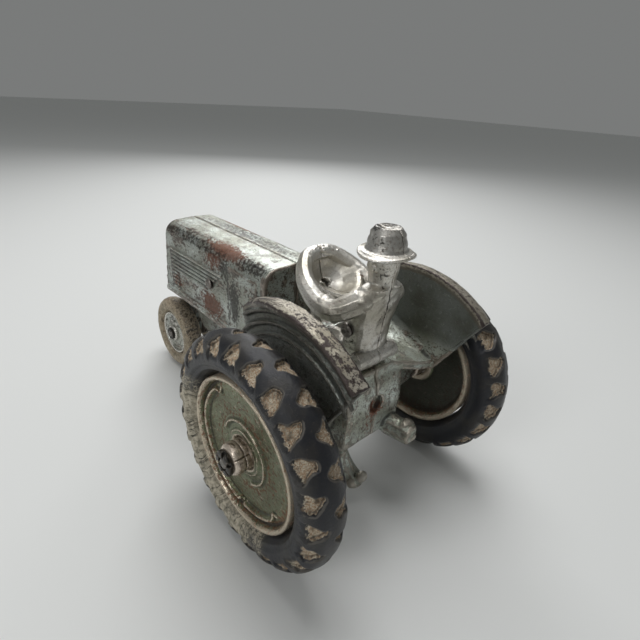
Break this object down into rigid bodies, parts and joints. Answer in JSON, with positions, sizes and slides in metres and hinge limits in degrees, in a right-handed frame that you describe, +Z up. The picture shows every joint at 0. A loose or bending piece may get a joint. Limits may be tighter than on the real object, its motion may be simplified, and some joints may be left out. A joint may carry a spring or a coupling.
{
  "type": "toy tractor",
  "caption": "Cast toy farm tractor with a seated driver in a brimmed hat, louvred hood, rear fenders and free-turning rubber-tyred wheels.",
  "frame": {"origin": "middle of the overall length and width, on the floor under the tyres", "axes": "+Z up, the tractor faces -Y, its left side is +X"},
  "size_m": [0.1124, 0.1834, 0.111],
  "materials": {
    "body_casting": "worn silver paint over dark iron, patches of rust",
    "driver_casting": "dulled nickel plating",
    "steel": "dark oxidised steel",
    "rear_tyre": "aged black rubber, tan dirt in the tread pockets",
    "front_tyre": "aged speckled tan rubber",
    "rear_disc": "worn silver paint with rust spots",
    "front_disc": "worn bright silver paint",
    "hub": "bronzed, worn bright on the edges",
    "collar": "blackened steel"
  },
  "bodies": {
    "tractor": {"body_left": "body_casting", "body_right": "body_casting", "driver_left": "driver_casting", "driver_right": "driver_casting", "hood_rivet": "steel", "hip_rivet": "steel", "rear_axle": "steel", "front_axle": "steel", "rear_collar_left": "collar", "rear_collar_right": "collar", "front_washer_left": "collar", "front_washer_right": "collar"},
    "rear_wheel_left": {"rear_tyre_left": "rear_tyre", "rear_disc_left": "rear_disc", "rear_hub_left": "hub"},
    "front_wheel_left": {"front_tyre_left": "front_tyre", "front_disc_left": "front_disc"},
    "rear_wheel_right": {"rear_tyre_right": "rear_tyre", "rear_disc_right": "rear_disc", "rear_hub_right": "hub"},
    "front_wheel_right": {"front_tyre_right": "front_tyre", "front_disc_right": "front_disc"}
  },
  "joints": [
    {"name": "rear_left_spin", "type": "hinge", "parent": "tractor", "child": "rear_wheel_left", "pos_m": [0.045, 0.05065, 0.041], "axis": [1, 0, 0], "continuous": true},
    {"name": "front_left_spin", "type": "hinge", "parent": "tractor", "child": "front_wheel_left", "pos_m": [0.012, -0.07135, 0.0203], "axis": [1, 0, 0], "continuous": true},
    {"name": "rear_right_spin", "type": "hinge", "parent": "tractor", "child": "rear_wheel_right", "pos_m": [-0.045, 0.05065, 0.041], "axis": [1, 0, 0], "continuous": true},
    {"name": "front_right_spin", "type": "hinge", "parent": "tractor", "child": "front_wheel_right", "pos_m": [-0.012, -0.07135, 0.0203], "axis": [1, 0, 0], "continuous": true}
  ]
}
